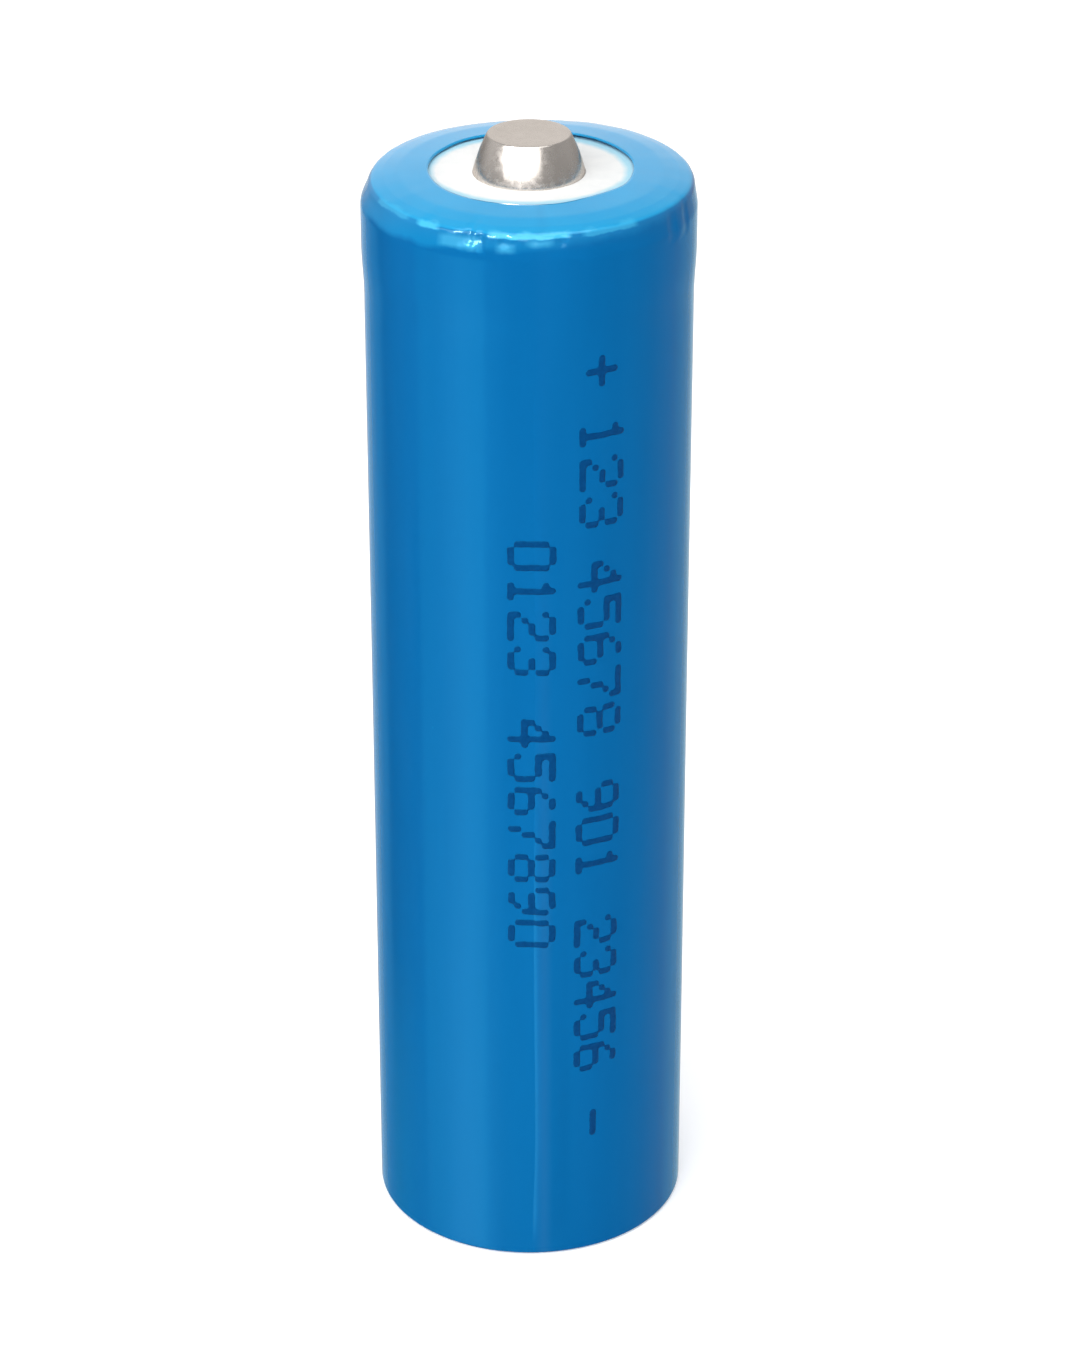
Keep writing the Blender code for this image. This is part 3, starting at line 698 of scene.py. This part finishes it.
def washer_piece():
    """A flat ring that is warped a little. The film hides its outer edge."""
    low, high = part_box("insulator_washer")
    edge = 0.04 * MM
    warp = 0.006 * MM
    opening, radius = 3.11 * MM, high.x - 0.4 * MM
    corners = [(opening, low.z, 0.0), (radius, low.z, 0.0), (radius, high.z, edge), (opening, high.z, edge)]
    corners.append(corners[0])
    outline = rounded(corners, lambda height: 0.35 * MM)[:-1]

    def shift(r, z, bearing):
        way = Vector(place(r / MM, bearing, 0.0))
        return r, z + warp * noise.noise(way * 0.8) * (z > low.z + edge)

    shape = turned(outline, shift=shift)
    add_piece("fibre_washer", shape, fibre_look(), nodes=["insulator_washer"])


def button_piece():
    """A drawn dome that leans in more and more towards its flat top, with a hidden flange."""
    low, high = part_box("button_cap")
    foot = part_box("insulator_washer")[1].z
    wall = 0.25 * MM
    base_radius, top_radius, edge = 3.1 * MM, 2.3 * MM, 0.13 * MM
    flange_radius, flange_top, bend = high.x, low.z + 0.22 * MM, 0.05 * MM
    lean = base_radius - top_radius

    def dome(inset, top, steps):
        """One face of the dome from the middle of its top down to its foot."""
        side = []
        for i in range(steps + 1):
            share = 1 - i / steps
            leaning = lean * share * (0.6 + 0.4 * share)
            side.append((base_radius - inset - leaning, foot + (top - foot) * share, 0.0))
        return [(0.0, top, 0.0), (side[0][0], top, edge - inset / 2), *side[1:]]

    corners = dome(0.0, high.z, 14)
    corners += [(base_radius, flange_top, bend), (flange_radius, flange_top, bend)]
    corners += [(flange_radius, low.z, bend), (base_radius - wall, low.z, bend)]
    corners += reversed(dome(wall, high.z - wall, 10))
    shape = turned(rounded(corners, lambda height: 0.3 * MM))
    polish = {"scratch": 0.0012 * MM, "grain": 4.0, "tint": BUTTON_SHEEN_TINT}
    nickel = metal_look("nickel_plate", BUTTON_TONES, 0.25, **polish)
    add_piece("contact_button", shape, nickel, nodes=["button_cap"])


# Print on the sleeve: characters of round dots, five across and seven high, that run down the cell

DIGITS = {
    "0": ("01110", "10001", "10001", "10001", "10001", "10001", "01110"),
    "1": ("00100", "01100", "00100", "00100", "00100", "00100", "01110"),
    "2": ("01110", "10001", "00001", "00110", "01000", "10000", "11111"),
    "3": ("01110", "10001", "00001", "00110", "00001", "10001", "01110"),
    "4": ("00010", "00110", "01010", "10010", "11111", "00010", "00010"),
    "5": ("11111", "10000", "11110", "00001", "00001", "10001", "01110"),
    "6": ("00110", "01000", "10000", "11110", "10001", "10001", "01110"),
    "7": ("11111", "00001", "00010", "00100", "00100", "01000", "01000"),
    "8": ("01110", "10001", "10001", "01110", "10001", "10001", "01110"),
    "9": ("01110", "10001", "10001", "01111", "00001", "00010", "01100"),
    "+": ("00000", "00100", "00100", "11111", "00100", "00100", "00000"),
    "-": ("00000", "00000", "00000", "11111", "00000", "00000", "00000"),
}
MIDDLE_ROW = 3
PITCH = 6  # dots from one character to the next
DOT_RADIUS = 0.19 * MM
DOT_REACH = 0.4 * MM  # how far a dot's ink draws to its neighbours'
DOT_STEP_ACROSS = 0.39 * MM  # round the cell
DOT_STRAY = 0.02  # millimetres
INK_HEIGHT = 0.008 * MM
INK_GRID = 0.07 * MM

# Each run of print: bearing of its middle, height of its first dot, dots' step down the cell, characters
PRINT_RUNS = (
    (25.3, 57.85 * MM, 0.36 * MM, "+"),
    (25.6, 54.1 * MM, 0.38 * MM, "123"),
    (25.3, 45.55 * MM, 0.375 * MM, "45678"),
    (24.9, 31.6 * MM, 0.36 * MM, "901"),
    (24.5, 22.75 * MM, 0.355 * MM, "23456"),
    (23.6, 9.65 * MM, 0.36 * MM, "-"),
    (0.6, 47.15 * MM, 0.36 * MM, "0123"),
    (0.5, 36.1 * MM, 0.362 * MM, "4567890"),
)


def stray():
    return random.uniform(-DOT_STRAY, DOT_STRAY) * MM


def print_dots():
    """Each dot's place on the unrolled side: (distance round, height). Tops of characters point to +X."""
    dots = []
    for middle, start, step, text in PRINT_RUNS:
        centre = math.radians(middle) * BODY_RADIUS
        for index, character in enumerate(text):
            for row, line in enumerate(DIGITS[character]):
                for column, mark in enumerate(line):
                    if mark == "1":
                        across = (MIDDLE_ROW - row) * DOT_STEP_ACROSS + stray()
                        down = (column + PITCH * index) * step + stray()
                        dots.append((centre + across, start - down))
    return dots


class Ink:
    """The amount of ink over the unrolled side, where each dot is a soft disc."""

    def __init__(self, dots):
        self.near = {}
        for dot in dots:
            column, row = (math.floor(value / DOT_REACH) for value in dot)
            for i in (-1, 0, 1):
                for j in (-1, 0, 1):
                    self.near.setdefault((column + i, row + j), []).append(dot)

    def at(self, x, y):
        """The ink's amount at a place, and how it changes with x and y."""
        amount, by_x, by_y = 0.0, 0.0, 0.0
        for dot_x, dot_y in self.near.get((math.floor(x / DOT_REACH), math.floor(y / DOT_REACH)), ()):
            share = 1 - ((x - dot_x) ** 2 + (y - dot_y) ** 2) / DOT_REACH**2
            if share > 0:
                amount += share * share
                by_x -= 4 * share * (x - dot_x) / DOT_REACH**2
                by_y -= 4 * share * (y - dot_y) / DOT_REACH**2
        return amount, by_x, by_y


def print_piece():
    """A thin skin of ink that ends where its amount falls to a level, so that close dots join."""
    level = (1 - (DOT_RADIUS / DOT_REACH) ** 2) ** 2  # the amount at the edge of a dot that stands alone
    dots = print_dots()
    ink = Ink(dots)
    reach = math.ceil(1.5 * DOT_RADIUS / INK_GRID)  # cells round a dot that it may ink
    covered = set()
    for dot in dots:
        column, row = (round(value / INK_GRID) for value in dot)
        for i in range(-reach, reach + 1):
            covered |= {(column + i, row + j) for j in range(-reach, reach + 1)}
    inked = {(i, j) for i, j in covered if ink.at((i + 0.5) * INK_GRID, (j + 0.5) * INK_GRID)[0] > level}
    shape = bmesh.new()
    corners = {}

    def corner(i, j):
        """The skin's vertex at a grid corner, drawn to the ink's edge if a cell round it has no ink."""
        if (i, j) not in corners:
            x, y = i * INK_GRID, j * INK_GRID
            if not {(i, j), (i - 1, j), (i, j - 1), (i - 1, j - 1)} <= inked:
                for _ in range(2):
                    amount, by_x, by_y = ink.at(x, y)
                    step = (level - amount) / max(by_x**2 + by_y**2, (level / DOT_REACH) ** 2)
                    x, y = x + step * by_x, y + step * by_y
            bearing = math.degrees(x / BODY_RADIUS)
            surface = film_shift(side_radius(y), y, bearing)[0]
            corners[i, j] = shape.verts.new(place(surface + INK_HEIGHT, bearing, y))
        return corners[i, j]

    for i, j in sorted(inked):
        shape.faces.new((corner(i, j), corner(i + 1, j), corner(i + 1, j + 1), corner(i, j + 1)))
    piece = add_piece("printed_code", shape, ink_look())
    skin = piece.modifiers.new("skin", "SOLIDIFY")
    skin.thickness = INK_HEIGHT * 0.9  # so that it stays clear of the film
    skin.offset = -1


# Inner pieces


def fine_turned(node, material, body="cell"):
    """A CAD node that is turned, made again with many more sides and softened edges."""
    piece = add_piece(f"{node}_fine", turned(meridian(node)), material, body, [node])
    edges = piece.modifiers.new("soft_edges", "BEVEL")
    edges.width = 0.04 * MM
    edges.segments = 2
    edges.limit_method = "ANGLE"
    edges.angle_limit = math.radians(35)


def inner_pieces():
    """Finer turned pieces, and materials on the CAD nodes that stay."""
    steel_tones = (0.56, 0.55, 0.53), (0.68, 0.67, 0.65)
    nickel_tones = (0.6, 0.58, 0.54), (0.7, 0.68, 0.63)
    aluminium_tones = (0.74, 0.75, 0.76), (0.84, 0.85, 0.86)
    steel = metal_look("plated_steel", steel_tones, 0.26, (1, 1, 0.1))
    nickel = metal_look("nickel_strip", nickel_tones, 0.24, (1, 1, 0.08))
    aluminium = metal_look("aluminium", aluminium_tones, 0.32, (1, 0.1, 1))
    gasket = polymer_look("gasket_polymer", ((0.66, 0.69, 0.7), (0.74, 0.77, 0.78)), 0.5)
    ptc = coating_look("ptc_composite", ((0.02, 0.02, 0.022), (0.07, 0.07, 0.075)))
    insulating = polymer_look("insulating_film", ((0.5, 0.33, 0.12), (0.62, 0.42, 0.18)), 0.35)
    separator = polymer_look("separator_film", ((0.8, 0.82, 0.83), (0.88, 0.9, 0.9)), 0.5)
    cathode = coating_look("cathode_coating", ((0.025, 0.025, 0.03), (0.07, 0.07, 0.08)))
    anode = coating_look("anode_coating", ((0.03, 0.028, 0.028), (0.09, 0.085, 0.08)))
    tape = tape_look("amber_tape", ((0.5, 0.24, 0.03), (0.65, 0.36, 0.07)))
    fine_turned("steel_can", steel)
    fine_turned("crimp_gasket", gasket)
    fine_turned("cid_insulator_ring", insulating)
    fine_turned("burst_disc_rim", aluminium)
    fine_turned("burst_disc_centre", aluminium, "burst_disc")
    fine_turned("ptc_ring", ptc)
    fine_turned("lower_insulator_disc", insulating)
    kept = {
        "cid_contact_disc": aluminium,
        "positive_cap": nickel,
        "upper_insulator_disc": insulating,
        "centre_pin": steel,
        "separator_inner": separator,
        "separator_outer": separator,
        "cathode_sheet": cathode,
        "anode_sheet": anode,
        "positive_tab": aluminium,
        "negative_tab": nickel,
        "positive_tab_tape": tape,
        "negative_tab_tape": tape,
        "roll_end_tape": tape,
    }
    for node, material in kept.items():
        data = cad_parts[node].data
        data.materials.clear()
        data.materials.append(material)


# Studio

# Soft brightness round the cell, seen in its gloss: bearing, elevation, sharpness, brightness
GLOWS = (
    (-43, -27, 24.0, 1.4),  # pale table to the front left
    (120, -30, 7.0, 0.3),  # the right side
    (-110, 20, 8.0, 0.25),  # the left side
    (180, -24, 8.0, 0.5),  # behind, for the rims
    (180, 8, 8.0, 0.74),  # the backdrop over the top
)

# Panels seen in its gloss: first and last bearing and their softness, then how high the top's way rises and
# its softness, then the colour
PANELS = (
    (-84, -31, 3, -0.25, 0.02, (0.1, 0.6, 0.6, 1.0)),
    (-128, -84, 3, -0.525, 0.02, (0.05, 0.35, 0.35, 1.0)),
    (-166, -128, 3, -0.27, 0.05, (0.05, 0.30, 0.45, 1.0)),
    (126, 168, 3, -0.27, 0.05, (0.0, 0.2, 0.27, 1.0)),
    (-80, 32, 15, -0.5, 0.04, (0.1, 0.45, 0.45, 1.0)),
)

LAMP_AIM = Vector((0, 0, 0.035))

# Lamps: name, bearing and elevation from the aim, distance, width, height, radiance, lights matt faces
LAMPS = (
    ("key", -22, 38, 0.6, 1.1, 0.52, 3.0, True),
    ("overhead", 0, 86, 0.7, 0.68, 0.68, 2.3, True),
    ("glint", -42, 40, 0.8, 0.27, 0.27, 38.0, False),
)

CAMERA_PLACE = (-0.43 * MM, -219.61 * MM, 146.91 * MM)
CAMERA_TILT, CAMERA_TURN = 27.13, 0.27  # degrees down and to the right
CAMERA_LENS, CAMERA_SENSOR = 112.9, 36.0


def floor_piece():
    """A wide pale sheet with a faint paper grain. It glows more further out, to meet the backdrop."""
    half = 3.0
    drop = 0.02 * MM
    shape = bmesh.new()
    corners = [(-1, -1), (1, -1), (1, 1), (-1, 1)]
    shape.faces.new([shape.verts.new((x * half, y * half, -drop)) for x, y in corners])
    mesh = bpy.data.meshes.new("floor")
    shape.to_mesh(mesh)
    shape.free()
    look = Look("pale_paper", 0.9)
    glow = look.spread(look.radius(), low=0.22, high=0.8, start=350, end=1300)
    look.use(base_color=look.tones(look.noise(0.05), *PAPER_TONES))
    mesh.materials.append(look.use(emission_color=WHITE, emission_strength=glow))
    floor = in_scene("floor", mesh)
    floor.visible_glossy = False


def softbox(name, bearing, elevation, distance, width, height, radiance, on_matt):
    """A soft oval light at a bearing and an elevation from the aim point, facing it."""
    data = bpy.data.lights.new(name, "AREA")
    data.shape = "ELLIPSE"
    data.size = width
    data.size_y = height
    area = math.pi / 4 * width * height
    data.energy = radiance * math.pi * area
    light = in_scene(name, data)
    way = Vector(towards(bearing, elevation))
    light.location = LAMP_AIM + way * distance
    light.rotation_euler = way.to_track_quat("Z", "Y").to_euler()
    light.visible_camera = False
    light.visible_diffuse = on_matt


def background(sky, colour, strength):
    return sky.node("ShaderNodeBackground", color=colour, strength=strength).outputs["Background"]


def surroundings(sky):
    """What the cell's gloss shows: a pale room with soft glows and coloured panels low down."""
    way = sky.node("ShaderNodeTexCoord").outputs["Generated"]
    x, y, z = sky.axes(way)
    brightness = sky.spread(z, low=0.0, high=0.4, start=-0.3, end=0.15, smooth=True)
    for bearing, elevation, sharpness, strength in GLOWS:
        product = sky.tree.nodes.new("ShaderNodeVectorMath")
        product.operation = "DOT_PRODUCT"
        sky.feed(product.inputs[0], way)
        sky.feed(product.inputs[1], towards(bearing, elevation))
        facing = sky.math("MAXIMUM", product.outputs["Value"], 0.0)
        glow = sky.product(sky.math("POWER", facing, sharpness), strength)
        brightness = sky.total(glow, brightness)
    lit = background(sky, WHITE, brightness)
    bearing = sky.bearing(x, y)
    for first, last, soft, top, blur, colour in PANELS:
        left = sky.spread(bearing, 0.0, 1.0, first - soft, first + soft, smooth=True)
        right = sky.spread(bearing, 0.0, 1.0, last + soft, last - soft, smooth=True)
        below = sky.spread(z, 0.0, 1.0, top + blur, top - blur, smooth=True)
        added = sky.node("ShaderNodeAddShader")
        sky.feed(added.inputs[0], lit)
        sky.feed(added.inputs[1], background(sky, colour, sky.product(left, right, below)))
        lit = added.outputs["Shader"]
    return lit


def studio():
    """The surroundings for reflections, a white backdrop for the camera, and lamps."""
    world = bpy.data.worlds.new("studio")
    bpy.context.scene.world = world
    world.use_nodes = True
    world.cycles.sampling_method = "NONE"
    sky = Nodes(world.node_tree)
    sky.tree.nodes.clear()
    choice = sky.node("ShaderNodeMixShader")
    sky.feed(choice.inputs["Fac"], sky.node("ShaderNodeLightPath").outputs["Is Camera Ray"])
    sky.feed(choice.inputs[1], surroundings(sky))
    sky.feed(choice.inputs[2], background(sky, WHITE, 1.0))
    sky.node("ShaderNodeOutputWorld", surface=choice.outputs["Shader"])
    for lamp in LAMPS:
        softbox(*lamp)


def camera():
    data = bpy.data.cameras.new("camera")
    data.lens = CAMERA_LENS
    data.sensor_width = CAMERA_SENSOR
    data.clip_start = 0.01
    data.clip_end = 20.0
    view = in_scene("camera", data)
    view.location = CAMERA_PLACE
    view.rotation_euler = (math.radians(90 - CAMERA_TILT), 0.0, math.radians(-CAMERA_TURN))
    bpy.context.scene.camera = view


film_piece()
washer_piece()
button_piece()
print_piece()
inner_pieces()
floor_piece()
studio()
camera()
bpy.context.scene.view_settings.view_transform = "Standard"
